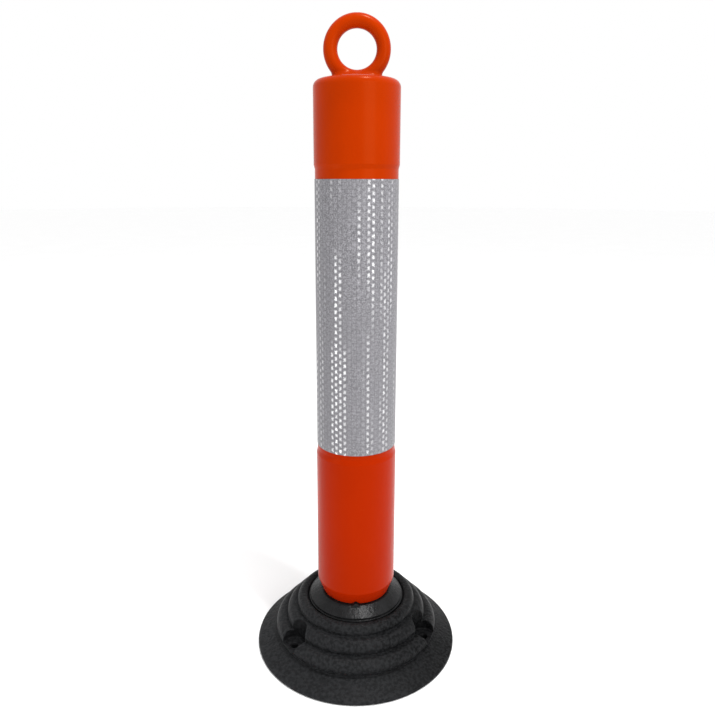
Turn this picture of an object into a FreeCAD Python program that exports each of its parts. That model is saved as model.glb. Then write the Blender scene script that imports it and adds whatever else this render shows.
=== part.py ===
"""Flexible delineator post: a ring-topped hollow post that plugs onto a tiered rubber base.

Millimetres, +Z up. The origin is the centre of the base's underside.
The index nub faces -Y, which is the post's front.
"""
import FreeCAD, Part
import os
from math import cos, degrees, radians, sin, sqrt

# Overall sizes
TOTAL_HEIGHT = 750.0
POST_RADIUS = 48.0
BASE_RADIUS = 125.0

# Ring at the top of the post
RING_OUTER_RADIUS = 36.4
RING_HOLE_RADIUS = 21.5
RING_CENTRE_Z = TOTAL_HEIGHT - RING_OUTER_RADIUS

# Post body, from the top down
CROWN_Z = 690.0
SHOULDER_Z = 682.3
SHOULDER_RADIUS = 8.3
COLLAR_STEP_TOP_Z = 592.5
RECESS_TOP_Z = 587.7
RECESS_BOTTOM_Z = 259.7
COLLAR_STEP_BOTTOM_Z = 253.8
RECESS_RADIUS = 46.8
POST_WALL = 4.5

# Reflective sleeve in the recess
SLEEVE_TOP_Z = 577.0
SLEEVE_BOTTOM_Z = 265.5
SLEEVE_INNER_RADIUS = 46.9
SLEEVE_FILM = 0.4
SLEEVE_LAP_WIDTH = 12.0

# The two bending stretches of the post, and its foot below them
FLEX_TOP_Z = 238.0
FLEX_MIDDLE_Z = 168.0
FLEX_BOTTOM_Z = 98.0
TAPER_TOP_Z = 87.0
RIM_Z = 71.2
RIM_RADIUS = 41.8
SPIGOT_RADIUS = 37.4
FOOT_BORE_RADIUS = SPIGOT_RADIUS + 0.1

# Lock collar: flange, spigot and barrel
LEDGE_Z = 71.0
LEDGE_RADIUS = 43.5
FLANGE_RADIUS = 59.5
FLANGE_TOP_Z = 62.3
SEAT_Z = 57.3
SPIGOT_TOP_Z = 110.0
SPIGOT_WALL = 5.4
BARREL_RADIUS = 43.8
BARREL_WALL = 4.8
BARREL_FLOOR = 4.0
NUB_WIDTH = 16.0
NUB_HEIGHT = 7.0
NUB_BOTTOM_Z = 67.5
NUB_INNER_RADIUS = SPIGOT_RADIUS - 1.0
NUB_OUTER_RADIUS = 47.0
NUB_GAP = 0.5

# Grip rings on the spigot
GRIP_RING_SECTION = 1.8
GRIP_RING_HEIGHTS = (79.0, 91.0)
GRIP_RING_GAP = 0.05

# Rubber base: outline of the brim and the three tiers
BRIM_EDGE = 5.5
BRIM_TOP_RADIUS = 97.5
BRIM_TOP_Z = 15.8
TIER_GROOVES = ((BRIM_TOP_RADIUS, BRIM_TOP_Z), (85.5, 33.0), (72.5, 48.7), (61.2, 59.6))
TIER_BULGES = (10.5, 10.7, 7.9)
SEAT_CLEARANCE = 0.2

# Anchor pockets
POCKET_COUNT = 3
POCKET_FIRST_ANGLE = 96.0
POCKET_CIRCLE_RADIUS = 92.0
POCKET_RADIUS = 15.0
POCKET_FLOOR_Z = 23.0
ANCHOR_HOLE_RADIUS = 4.5

# Underside of the base
UNDER_RECESS_RADIUS = 57.0
UNDER_RECESS_DEPTH = 10.0
GRIP_GROOVE_RADII = (65.0, 72.0, 104.0, 111.0, 118.0)
GRIP_GROOVE_SIZE = 2.0

# Clamp plate and its M6 fasteners
PLATE_RADIUS = 56.0
PLATE_THICKNESS = 3.0
PLATE_BOTTOM_Z = UNDER_RECESS_DEPTH - PLATE_THICKNESS
PLATE_DRAIN_RADIUS = 18.0
SCREW_COUNT = 4
SCREW_CIRCLE_RADIUS = 29.0
SCREW_RADIUS = 3.0
SCREW_HEAD_FLATS = 10.0
SCREW_HEAD_HEIGHT = 4.0
SCREW_TOP_Z = 25.0
SCREW_GAP = 0.3
WASHER_RADIUS = 6.2
WASHER_THICKNESS = 1.6
BOSS_RADIUS = 7.5
BOSS_TOP_Z = 30.0
INSERT_RADIUS = 4.2
INSERT_LENGTH = 12.0

UP = FreeCAD.Vector(0, 0, 1)


def point(radius, z):
    """A point of an outline that is turned about the Z axis."""
    return FreeCAD.Vector(radius, 0, z)


def cylinder(radius, bottom, top, x=0.0, y=0.0):
    return Part.makeCylinder(radius, top - bottom, FreeCAD.Vector(x, y, bottom), UP)


def on_circle(radius, angle):
    """The X and Y of a point at an angle in degrees from +X."""
    return radius * cos(radians(angle)), radius * sin(radians(angle))


def turned(outline, angle=360.0):
    """Turn an outline about the Z axis.

    A step of the outline is a (radius, z) corner, or a pair of them: a point
    that an arc passes through, and the point where the arc ends.
    """
    start = point(*outline[0])
    here = start
    edges = []
    for step in outline[1:]:
        if isinstance(step[0], tuple):
            end = point(*step[1])
            edges.append(Part.Arc(here, point(*step[0]), end).toShape())
        else:
            end = point(*step)
            edges.append(Part.makeLine(here, end))
        here = end
    if here.distanceToPoint(start) > 1e-6:
        edges.append(Part.makeLine(here, start))
    return Part.Face(Part.Wire(edges)).revolve(FreeCAD.Vector(), UP, angle)


def bulge(start, end, radius):
    """The arc that swells outward and up between two corners of an outline."""
    run, rise = end[0] - start[0], end[1] - start[1]
    chord = sqrt(run * run + rise * rise)
    height = radius - sqrt(max(radius * radius - chord * chord / 4, 0.0))
    middle = ((start[0] + end[0]) / 2 + rise / chord * height, (start[1] + end[1]) / 2 - run / chord * height)
    return middle, end


def ring_of(count, radius, first_angle, make):
    """Copies of a solid at equal angles, as one group of separate solids."""
    places = [on_circle(radius, first_angle + 360.0 / count * i) for i in range(count)]
    return Part.makeCompound([make(x, y) for x, y in places])


def gable(width, height, bottom, inner, outer):
    """A three-sided bar pointing up, lying along -Y between two radii."""
    corners = [
        FreeCAD.Vector(-width / 2, -inner, bottom),
        FreeCAD.Vector(width / 2, -inner, bottom),
        FreeCAD.Vector(0, -inner, bottom + height),
    ]
    face = Part.Face(Part.makePolygon(corners + corners[:1]))
    return face.extrude(FreeCAD.Vector(0, inner - outer, 0))


def rubber_base():
    tiers = [TIER_GROOVES[0]]
    for corner, radius in zip(TIER_GROOVES[1:], TIER_BULGES):
        tiers.append(bulge(TIER_GROOVES[len(tiers) - 1], corner, radius))
    seat = SEAT_Z - SEAT_CLEARANCE
    bore = BARREL_RADIUS + SEAT_CLEARANCE
    body = turned([
        (UNDER_RECESS_RADIUS, 0),
        (BASE_RADIUS - 1.5, 0),
        ((BASE_RADIUS - 0.44, 0.44), (BASE_RADIUS, 1.5)),
        (BASE_RADIUS, BRIM_EDGE - 2.5),
        ((BASE_RADIUS - 0.7, BRIM_EDGE - 0.8), (BASE_RADIUS - 2.5, BRIM_EDGE)),
        *tiers,
        (FLANGE_RADIUS + 0.7, seat),
        (bore, seat),
        (bore, UNDER_RECESS_DEPTH),
        (UNDER_RECESS_RADIUS, UNDER_RECESS_DEPTH),
    ])
    for radius in GRIP_GROOVE_RADII:
        body = body.cut(turned([
            (radius - GRIP_GROOVE_SIZE, 0),
            (radius + GRIP_GROOVE_SIZE, 0),
            (radius, GRIP_GROOVE_SIZE),
        ]))

    def pocket(x, y):
        return cylinder(POCKET_RADIUS, POCKET_FLOOR_Z, TOTAL_HEIGHT, x, y)

    def hole(x, y):
        return cylinder(ANCHOR_HOLE_RADIUS, 0, TOTAL_HEIGHT, x, y)

    body = body.cut(ring_of(POCKET_COUNT, POCKET_CIRCLE_RADIUS, POCKET_FIRST_ANGLE, pocket))
    return body.cut(ring_of(POCKET_COUNT, POCKET_CIRCLE_RADIUS, POCKET_FIRST_ANGLE, hole))


def lock_collar():
    """Conical flange with a double lip, a closed spigot above it and a barrel below it."""
    lip_top = FLANGE_TOP_Z
    lip_split = SEAT_Z + 2.6
    core = SPIGOT_RADIUS - SPIGOT_WALL
    barrel_core = BARREL_RADIUS - BARREL_WALL
    floor = UNDER_RECESS_DEPTH + BARREL_FLOOR
    body = turned([
        (0, UNDER_RECESS_DEPTH),
        (BARREL_RADIUS, UNDER_RECESS_DEPTH),
        (BARREL_RADIUS, SEAT_Z),
        (FLANGE_RADIUS, SEAT_Z),
        (FLANGE_RADIUS, lip_split - 0.5),
        ((FLANGE_RADIUS - 0.2, lip_split - 0.1), (FLANGE_RADIUS - 0.7, lip_split)),
        (FLANGE_RADIUS - 1.4, lip_split),
        (FLANGE_RADIUS - 1.4, lip_top - 0.9),
        ((FLANGE_RADIUS - 1.7, lip_top - 0.3), (FLANGE_RADIUS - 2.4, lip_top)),
        (LEDGE_RADIUS + 1.5, LEDGE_Z - 0.4),
        ((LEDGE_RADIUS + 0.8, LEDGE_Z - 0.1), (LEDGE_RADIUS, LEDGE_Z)),
        (SPIGOT_RADIUS, LEDGE_Z),
        (SPIGOT_RADIUS, SPIGOT_TOP_Z - 5.0),
        (SPIGOT_RADIUS - 2.5, SPIGOT_TOP_Z),
        (0, SPIGOT_TOP_Z),
    ])
    hollow = turned([
        (0, floor),
        (barrel_core, floor),
        (barrel_core, SEAT_Z),
        (core, SEAT_Z + 8.0),
        (core, SPIGOT_TOP_Z - 8.0),
        (core - 4.0, SPIGOT_TOP_Z - 4.0),
        (0, SPIGOT_TOP_Z - 4.0),
    ])

    def boss(x, y):
        return cylinder(BOSS_RADIUS, UNDER_RECESS_DEPTH, BOSS_TOP_Z, x, y)

    def insert_hole(x, y):
        return cylinder(INSERT_RADIUS, UNDER_RECESS_DEPTH, UNDER_RECESS_DEPTH + INSERT_LENGTH, x, y)

    def screw_hole(x, y):
        return cylinder(SCREW_RADIUS + SCREW_GAP, UNDER_RECESS_DEPTH, SCREW_TOP_Z + 1.0, x, y)

    body = body.cut(hollow)
    body = body.fuse(ring_of(SCREW_COUNT, SCREW_CIRCLE_RADIUS, 45.0, boss).Solids)
    body = body.cut(ring_of(SCREW_COUNT, SCREW_CIRCLE_RADIUS, 45.0, insert_hole))
    body = body.cut(ring_of(SCREW_COUNT, SCREW_CIRCLE_RADIUS, 45.0, screw_hole))
    for z in GRIP_RING_HEIGHTS:
        groove = GRIP_RING_SECTION + 0.3
        bottom = SPIGOT_RADIUS - 2 * GRIP_RING_SECTION
        body = body.cut(cylinder(SPIGOT_RADIUS + 1, z - groove, z + groove).cut(
            cylinder(bottom, z - groove, z + groove)))
    nub = gable(NUB_WIDTH, NUB_HEIGHT, NUB_BOTTOM_Z, NUB_INNER_RADIUS, NUB_OUTER_RADIUS)
    return body.fuse(nub).removeSplitter()


def grip_rings():
    """Rubber rings in the spigot's grooves, which hold the post by friction."""
    centre = FOOT_BORE_RADIUS - GRIP_RING_GAP - GRIP_RING_SECTION
    return Part.makeCompound([
        Part.makeTorus(centre, GRIP_RING_SECTION, FreeCAD.Vector(0, 0, z), UP) for z in GRIP_RING_HEIGHTS
    ])


def clamp_plate():
    plate = cylinder(PLATE_RADIUS, PLATE_BOTTOM_Z, UNDER_RECESS_DEPTH)
    plate = plate.cut(cylinder(PLATE_DRAIN_RADIUS, PLATE_BOTTOM_Z, UNDER_RECESS_DEPTH))

    def hole(x, y):
        return cylinder(SCREW_RADIUS + SCREW_GAP, PLATE_BOTTOM_Z, UNDER_RECESS_DEPTH, x, y)

    return plate.cut(ring_of(SCREW_COUNT, SCREW_CIRCLE_RADIUS, 45.0, hole))


def screw_washers():
    def washer(x, y):
        disc = cylinder(WASHER_RADIUS, PLATE_BOTTOM_Z - WASHER_THICKNESS, PLATE_BOTTOM_Z, x, y)
        return disc.cut(cylinder(SCREW_RADIUS + SCREW_GAP, 0, UNDER_RECESS_DEPTH, x, y))

    return ring_of(SCREW_COUNT, SCREW_CIRCLE_RADIUS, 45.0, washer)


def clamp_screws():
    """Hexagon-head screws that pass up through the plate into the collar's bosses."""
    head_top = PLATE_BOTTOM_Z - WASHER_THICKNESS
    corner = SCREW_HEAD_FLATS / 2 / cos(radians(30))

    def screw(x, y):
        corners = [
            FreeCAD.Vector(x + corner * cos(radians(60 * i)), y + corner * sin(radians(60 * i)), head_top)
            for i in range(7)
        ]
        head = Part.Face(Part.makePolygon(corners)).extrude(FreeCAD.Vector(0, 0, -SCREW_HEAD_HEIGHT))
        return head.fuse(cylinder(SCREW_RADIUS, head_top, SCREW_TOP_Z, x, y))

    return ring_of(SCREW_COUNT, SCREW_CIRCLE_RADIUS, 45.0, screw)


def threaded_inserts():
    """Brass inserts in the collar's bosses, bored to the screws' outer diameter."""
    bottom = UNDER_RECESS_DEPTH + 0.2
    top = UNDER_RECESS_DEPTH + INSERT_LENGTH - 0.2

    def insert(x, y):
        barrel = cylinder(INSERT_RADIUS - 0.05, bottom, top, x, y)
        return barrel.cut(cylinder(SCREW_RADIUS + 0.05, bottom, top, x, y))

    return ring_of(SCREW_COUNT, SCREW_CIRCLE_RADIUS, 45.0, insert)


def post_foot():
    """Tapered bottom of the post, bored to plug over the spigot."""
    body = turned([
        (FOOT_BORE_RADIUS + 1.2, RIM_Z),
        (RIM_RADIUS - 1.0, RIM_Z),
        ((RIM_RADIUS - 0.3, RIM_Z + 0.3), (RIM_RADIUS, RIM_Z + 1.0)),
        (POST_RADIUS - 0.3, TAPER_TOP_Z - 1.5),
        (POST_RADIUS, TAPER_TOP_Z),
        (POST_RADIUS, FLEX_BOTTOM_Z),
        (FOOT_BORE_RADIUS, FLEX_BOTTOM_Z),
        (FOOT_BORE_RADIUS, RIM_Z + 1.2),
    ])
    slope_gap = 2 * NUB_GAP
    notch = gable(
        NUB_WIDTH + 2 * slope_gap, NUB_HEIGHT + slope_gap, NUB_BOTTOM_Z,
        SPIGOT_RADIUS - 3.0, NUB_OUTER_RADIUS + 3.0,
    )
    return body.cut(notch)


def post_flex_lower():
    """Stretch of the tube that bends forward and back when the post is struck."""
    inner = POST_RADIUS - POST_WALL
    return turned([
        (FOOT_BORE_RADIUS, FLEX_BOTTOM_Z),
        (POST_RADIUS, FLEX_BOTTOM_Z),
        (POST_RADIUS, FLEX_MIDDLE_Z),
        (inner, FLEX_MIDDLE_Z),
        (inner, FLEX_BOTTOM_Z + 15.0),
        (FOOT_BORE_RADIUS, FLEX_BOTTOM_Z + 3.0),
    ])


def post_flex_upper():
    """Stretch of the tube that bends sideways when the post is struck."""
    tube = cylinder(POST_RADIUS, FLEX_MIDDLE_Z, FLEX_TOP_Z)
    return tube.cut(cylinder(POST_RADIUS - POST_WALL, FLEX_MIDDLE_Z, FLEX_TOP_Z))


def post_body():
    """Hollow post above the bending stretches, with its crown and ring."""
    corner = SHOULDER_RADIUS * (1 - sqrt(0.5))
    shoulder_start = SHOULDER_Z - SHOULDER_RADIUS
    shoulder_end = POST_RADIUS - SHOULDER_RADIUS
    inner = POST_RADIUS - POST_WALL
    recess_inner = RECESS_RADIUS - POST_WALL + 0.8
    cavity_top = CROWN_Z - 6.0
    body = turned([
        (inner, FLEX_TOP_Z),
        (POST_RADIUS, FLEX_TOP_Z),
        (POST_RADIUS, COLLAR_STEP_BOTTOM_Z),
        (RECESS_RADIUS, RECESS_BOTTOM_Z),
        (RECESS_RADIUS, RECESS_TOP_Z),
        (POST_RADIUS, COLLAR_STEP_TOP_Z),
        (POST_RADIUS, shoulder_start),
        ((POST_RADIUS - corner, SHOULDER_Z - corner), (shoulder_end, SHOULDER_Z)),
        ((shoulder_end / 2, CROWN_Z - (CROWN_Z - SHOULDER_Z) / 4), (0, CROWN_Z)),
        (0, cavity_top),
        ((shoulder_end / 2, cavity_top - 2.0), (shoulder_end - 3.0, cavity_top - 8.0)),
        (inner, cavity_top - 16.0),
        (inner, COLLAR_STEP_TOP_Z),
        (recess_inner, RECESS_TOP_Z),
        (recess_inner, RECESS_BOTTOM_Z),
        (inner, COLLAR_STEP_BOTTOM_Z),
    ])
    section = (RING_OUTER_RADIUS - RING_HOLE_RADIUS) / 2
    ring = Part.makeTorus(
        RING_HOLE_RADIUS + section, section, FreeCAD.Vector(0, 0, RING_CENTRE_Z), FreeCAD.Vector(0, 1, 0))
    cavity = turned([
        (0, cavity_top),
        ((shoulder_end / 2, cavity_top - 2.0), (shoulder_end - 3.0, cavity_top - 8.0)),
        (0, cavity_top - 12.0),
    ])
    return body.fuse(ring.cut(cavity)).removeSplitter()


def reflective_sleeve():
    """Self-adhesive sheeting wrapped round the recess, with its lap joint at the back."""
    outer = SLEEVE_INNER_RADIUS + SLEEVE_FILM
    lap_angle = degrees(SLEEVE_LAP_WIDTH / outer)

    def band(inner, angle):
        return turned([
            (inner, SLEEVE_BOTTOM_Z),
            (inner + SLEEVE_FILM, SLEEVE_BOTTOM_Z),
            (inner + SLEEVE_FILM, SLEEVE_TOP_Z),
            (inner, SLEEVE_TOP_Z),
        ], angle)

    lap = band(outer, lap_angle)
    lap.rotate(FreeCAD.Vector(), UP, 90.0 - lap_angle / 2)
    return band(SLEEVE_INNER_RADIUS, 360.0).fuse(lap)


PIECES = {
    "rubber_base": rubber_base,
    "lock_collar": lock_collar,
    "grip_rings": grip_rings,
    "clamp_plate": clamp_plate,
    "clamp_screws": clamp_screws,
    "screw_washers": screw_washers,
    "threaded_inserts": threaded_inserts,
    "post_foot": post_foot,
    "post_flex_lower": post_flex_lower,
    "post_flex_upper": post_flex_upper,
    "post_body": post_body,
    "reflective_sleeve": reflective_sleeve,
}

os.makedirs("parts", exist_ok=True)
for name, make in PIECES.items():
    shape = make()
    solids = shape.Solids
    print(f"{name}: {len(solids)} solid(s), valid {shape.isValid()}, {shape.Volume / 1000:.1f} cm3")
    if len(solids) == 1:
        shape = solids[0]
    shape.exportStep(f"parts/{name}.step")
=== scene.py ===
from math import atan2, cos, pi, radians, sin

import bmesh
import bpy
import numpy as np
from bpy.props import FloatProperty, FloatVectorProperty, IntProperty, PointerProperty
from mathutils import Matrix, Vector


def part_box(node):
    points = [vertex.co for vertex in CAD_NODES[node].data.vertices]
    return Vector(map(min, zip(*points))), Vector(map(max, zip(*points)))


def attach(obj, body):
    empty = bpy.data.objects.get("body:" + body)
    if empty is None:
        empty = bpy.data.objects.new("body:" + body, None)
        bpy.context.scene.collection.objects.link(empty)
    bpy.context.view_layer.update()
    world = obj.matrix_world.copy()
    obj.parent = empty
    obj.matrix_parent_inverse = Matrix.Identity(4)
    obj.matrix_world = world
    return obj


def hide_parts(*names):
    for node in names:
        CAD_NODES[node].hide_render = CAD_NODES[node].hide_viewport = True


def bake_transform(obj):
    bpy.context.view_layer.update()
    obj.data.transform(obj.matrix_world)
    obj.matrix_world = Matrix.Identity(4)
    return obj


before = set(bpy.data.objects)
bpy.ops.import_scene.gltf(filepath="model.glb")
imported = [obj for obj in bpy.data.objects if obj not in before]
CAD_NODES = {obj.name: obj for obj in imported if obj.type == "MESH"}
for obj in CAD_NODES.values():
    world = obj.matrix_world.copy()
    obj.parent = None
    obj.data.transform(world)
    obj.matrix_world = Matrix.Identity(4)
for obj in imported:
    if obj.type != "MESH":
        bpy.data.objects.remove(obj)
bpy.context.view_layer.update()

bl_info = {
    "name": "Delineator Post",
    "version": (1, 0, 0),
    "blender": (4, 5, 0),
    "location": "View3D > Sidebar > Delineator",
    "description": "Builds a flexible ring-topped delineator post on its rubber base",
    "category": "Object",
}

MM = 0.001


def top_of(node):
    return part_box(node)[1].z


def bottom_of(node):
    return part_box(node)[0].z


def radius_of(node):
    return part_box(node)[1].x


POST_RADIUS = radius_of("post_body")
TOTAL_HEIGHT = top_of("post_body")
BASE_RADIUS = radius_of("rubber_base")
SLEEVE_TOP = top_of("reflective_sleeve")
SLEEVE_BOTTOM = bottom_of("reflective_sleeve")
FLEX_BOTTOM = bottom_of("post_flex_lower")
FLEX_MIDDLE = top_of("post_flex_lower")
RIM = bottom_of("post_foot")
COLLAR_TOP = top_of("lock_collar")


# ---------------------------------------------------------------- settings

class PostSizes(bpy.types.PropertyGroup):
    """Sizes of the orange post that the looks add to the design."""

    around: IntProperty(
        name="Facets around", description="Number of facets around every turned piece",
        default=256, min=64, max=512)
    crown_blend: FloatProperty(
        name="Crown blend", description="How broadly the ring flows into the crown",
        default=10.0 * MM, min=2.0 * MM, max=20.0 * MM, subtype="DISTANCE", unit="LENGTH")
    crown_mesh: FloatProperty(
        name="Crown mesh size", description="Distance between neighbours on the crown and ring",
        default=0.85 * MM, min=0.6 * MM, max=3.0 * MM, subtype="DISTANCE", unit="LENGTH")
    taper_rounding: FloatProperty(
        name="Taper rounding", description="Radius of the turn from the post's side to its tapered foot",
        default=3.0 * MM, min=0.5 * MM, max=6.0 * MM, subtype="DISTANCE", unit="LENGTH")
    step_rounding: FloatProperty(
        name="Step rounding", description="Radius of the edges at the steps of the sleeve's recess",
        default=1.6 * MM, min=0.2 * MM, max=3.0 * MM, subtype="DISTANCE", unit="LENGTH")


class BaseSizes(bpy.types.PropertyGroup):
    """Sizes of the rubber base that the looks add to the design."""

    sectors: IntProperty(
        name="Sectors", description="Number of sectors around the rubber base",
        default=280, min=120, max=600)
    mesh_step: FloatProperty(
        name="Mesh size", description="Distance between neighbouring points across the rubber base",
        default=1.1 * MM, min=0.8 * MM, max=4.0 * MM, subtype="DISTANCE", unit="LENGTH")
    softness: FloatProperty(
        name="Edge softness", description="How far the moulded edges and grooves are softened",
        default=0.5 * MM, min=0.2 * MM, max=2.0 * MM, subtype="DISTANCE", unit="LENGTH")
    pocket_lip: FloatProperty(
        name="Pocket lip", description="Rounding of the rim of each anchor pocket",
        default=1.2 * MM, min=0.4 * MM, max=5.0 * MM, subtype="DISTANCE", unit="LENGTH")


class Colours(bpy.types.PropertyGroup):
    """Main colour of each finish, before painted light and shade, wear and grain."""

    orange: FloatVectorProperty(
        name="Post orange", description="Colour of the moulded post",
        default=(0.36, 0.0245, 0.0), min=0.0, max=1.0, size=3, subtype="COLOR")
    sheeting: FloatVectorProperty(
        name="Sheeting", description="Ground colour of the reflective sheeting",
        default=(0.198, 0.194, 0.208), min=0.0, max=1.0, size=3, subtype="COLOR")
    rubber: FloatVectorProperty(
        name="Rubber", description="Colour of the base and the grip rings",
        default=(0.0062, 0.0064, 0.0068), min=0.0, max=1.0, size=3, subtype="COLOR")
    collar: FloatVectorProperty(
        name="Collar", description="Colour of the lock collar",
        default=(0.0065, 0.0066, 0.007), min=0.0, max=1.0, size=3, subtype="COLOR")
    floor: FloatVectorProperty(
        name="Floor", description="Colour of the studio floor",
        default=(0.99, 0.99, 0.99), min=0.0, max=1.0, size=3, subtype="COLOR")


class StudioSettings(bpy.types.PropertyGroup):
    """Lights and camera of the studio."""

    key_power: FloatProperty(
        name="Overhead light", description="Power of the softbox above and a little in front of the post",
        default=22.0, min=0.0, max=500.0, unit="POWER")
    fill_power: FloatProperty(
        name="Front light", description="Power of the broad light to the right of the camera",
        default=13.0, min=0.0, max=500.0, unit="POWER")
    low_power: FloatProperty(
        name="Low light", description="Power of the small light that skims the base from the left",
        default=0.8, min=0.0, max=500.0, unit="POWER")
    ambient: FloatProperty(
        name="Ambient", description="Strength of the pale surroundings",
        default=1.0, min=0.0, max=5.0)
    camera_distance: FloatProperty(
        name="Camera distance", description="Distance of the camera in front of the post's axis",
        default=0.7604, min=0.2, max=5.0, subtype="DISTANCE", unit="LENGTH")
    camera_height: FloatProperty(
        name="Camera height", description="Height of the camera above the floor",
        default=0.5758, min=0.0, max=5.0, subtype="DISTANCE", unit="LENGTH")
    camera_pitch: FloatProperty(
        name="Camera pitch", description="How far the camera looks down",
        default=radians(12.185), subtype="ANGLE", unit="ROTATION")
    camera_yaw: FloatProperty(
        name="Camera yaw", description="How far the camera looks to the right",
        default=radians(0.093), subtype="ANGLE", unit="ROTATION")
    camera_roll: FloatProperty(
        name="Camera roll", description="How far the camera leans",
        default=radians(0.139), subtype="ANGLE", unit="ROTATION")
    lens: FloatProperty(
        name="Lens", description="Focal length of the camera's lens",
        default=33.417, min=10.0, max=200.0, subtype="DISTANCE_CAMERA", unit="CAMERA")
    rise: FloatProperty(
        name="Vertical shift", description="Shift of the lens, as a share of the frame",
        default=-0.04755, min=-0.5, max=0.5)


# ---------------------------------------------------------------- outlines and turned shapes

def rounded(corners, steps=5):
    """Outline through (radius, z, rounding) corners, each turned into an arc of that radius."""
    outline = [Vector(corners[0][:2])]
    for before, corner, after in zip(corners, corners[1:], corners[2:]):
        here = Vector(corner[:2])
        rounding = corner[2]
        if rounding <= 0:
            outline.append(here)
            continue
        back = (Vector(before[:2]) - here).normalized()
        forth = (Vector(after[:2]) - here).normalized()
        half = back.angle(forth) / 2
        reach = rounding / np.tan(half)
        centre = here + (back + forth).normalized() * rounding / sin(half)
        first = here + back * reach - centre
        last = here + forth * reach - centre
        for i in range(steps + 1):
            outline.append(centre + first.slerp(last, i / steps).normalized() * rounding)
    outline.append(Vector(corners[-1][:2]))
    return [(float(p.x), float(p.y)) for p in outline]


def divided(outline, longest):
    """The same outline with points added where two neighbours are further apart than longest."""
    result = [outline[0]]
    for start, end in zip(outline, outline[1:]):
        parts = max(1, int(np.ceil(np.hypot(end[0] - start[0], end[1] - start[1]) / longest)))
        for i in range(1, parts + 1):
            result.append((
                start[0] + (end[0] - start[0]) * i / parts,
                start[1] + (end[1] - start[1]) * i / parts,
            ))
    return result


def even_angles(count):
    return np.arange(count) * 2 * pi / count


def turned(outline, angles, closed=False):
    """Points and faces of an outline turned about Z; a point on the axis stays a single point."""
    points = []
    rows = []
    for radius, z in outline:
        if radius < 1e-9:
            rows.append([len(points)] * len(angles))
            points.append((0.0, 0.0, z))
        else:
            rows.append(list(range(len(points), len(points) + len(angles))))
            points.extend((radius * cos(a), radius * sin(a), z) for a in angles)
    faces = []
    pairs = list(zip(rows, rows[1:]))
    if closed:
        pairs.append((rows[-1], rows[0]))
    for low, high in pairs:
        for i in range(len(angles)):
            j = (i + 1) % len(angles)
            face = []
            for index in (low[i], low[j], high[j], high[i]):
                if index not in face:
                    face.append(index)
            if len(face) > 2:
                faces.append(tuple(face))
    return np.array(points), faces


def closed_bar(rings, wide):
    """Faces of a bar whose points are rings of wide points each, closed at both ends."""
    faces = [
        (i * wide + j, (i + 1) * wide + j, (i + 1) * wide + (j + 1) % wide, i * wide + (j + 1) % wide)
        for i in range(rings - 1) for j in range(wide)
    ]
    faces.append(tuple(range(wide)))
    faces.append(tuple(range((rings - 1) * wide, rings * wide)))
    return faces


def new_piece(name, points, faces, crease=35.0):
    """A mesh object with smooth shading and sharp edges where faces meet at more than crease degrees."""
    mesh = bpy.data.meshes.new(name)
    mesh.from_pydata([tuple(map(float, p)) for p in points], [], [tuple(map(int, f)) for f in faces])
    piece = bpy.data.objects.new(name, mesh)
    bpy.context.scene.collection.objects.link(piece)
    tidy_mesh(piece, crease)
    return piece


def tidy_mesh(piece, crease=35.0):
    """Face the piece's faces outward, shade them smooth and mark its creases."""
    work = bmesh.new()
    work.from_mesh(piece.data)
    bmesh.ops.recalc_face_normals(work, faces=work.faces)
    for face in work.faces:
        face.smooth = True
    limit = radians(crease)
    for edge in work.edges:
        edge.smooth = len(edge.link_faces) != 2 or edge.calc_face_angle(0.0) < limit
    work.to_mesh(piece.data)
    work.free()
    piece.data.update()


def merged(*parts):
    """Several (points, faces) sets as one."""
    points = []
    faces = []
    for part_points, part_faces in parts:
        start = sum(len(p) for p in points)
        points.append(np.asarray(part_points, float))
        faces.extend(tuple(index + start for index in face) for face in part_faces)
    return np.concatenate(points), faces


# ---------------------------------------------------------------- skins over distance fields

def soft_min(a, b, blend):
    """The lesser of two distances, with a fillet where they are close."""
    near = np.maximum(blend - np.abs(a - b), 0.0) / blend
    return np.minimum(a, b) - near * near * blend / 4


def soft_max(a, b, blend):
    return -soft_min(-a, -b, blend)


class Section:
    """Signed distance to a closed outline in the plane of radius and height, kept as a softened table."""

    PITCH = 0.25 * MM
    MARGIN = 6.0 * MM

    def __init__(self, outline, softness):
        corners = np.array(outline)
        self.low = corners.min(0) - self.MARGIN
        counts = np.ceil((corners.max(0) + self.MARGIN - self.low) / self.PITCH).astype(int) + 1
        axes = [self.low[i] + np.arange(counts[i]) * self.PITCH for i in range(2)]
        r, z = np.meshgrid(*axes, indexing="ij")
        nearest = np.full(r.shape, 1.0)
        inside = np.zeros(r.shape, bool)
        for (r0, z0), (r1, z1) in zip(corners, np.roll(corners, -1, 0)):
            run, rise = r1 - r0, z1 - z0
            length = run * run + rise * rise
            if length == 0:
                continue
            along = np.clip(((r - r0) * run + (z - z0) * rise) / length, 0, 1)
            nearest = np.minimum(nearest, np.hypot(r - r0 - along * run, z - z0 - along * rise))
            if z0 != z1:
                spans = (z0 > z) != (z1 > z)
                inside ^= spans & (r < r0 + (z - z0) * run / rise)
        table = np.where(inside, -nearest, nearest)
        reach = int(3 * softness / self.PITCH)
        weights = np.exp(-0.5 * (np.arange(-reach, reach + 1) * self.PITCH / softness) ** 2)
        weights /= weights.sum()
        for axis in range(2):
            table = np.apply_along_axis(
                lambda line: np.convolve(np.pad(line, reach, "edge"), weights, "valid"), axis, table)
        self.table = table

    def __call__(self, radius, z):
        place = [
            np.clip((value - low) / self.PITCH, 0, size - 1.001)
            for value, low, size in zip((radius, z), self.low, self.table.shape)
        ]
        i, j = (p.astype(int) for p in place)
        u, v = place[0] - i, place[1] - j
        t = self.table
        lower = t[i, j] * (1 - u) + t[i + 1, j] * u
        upper = t[i, j + 1] * (1 - u) + t[i + 1, j + 1] * u
        return lower * (1 - v) + upper * v


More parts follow.
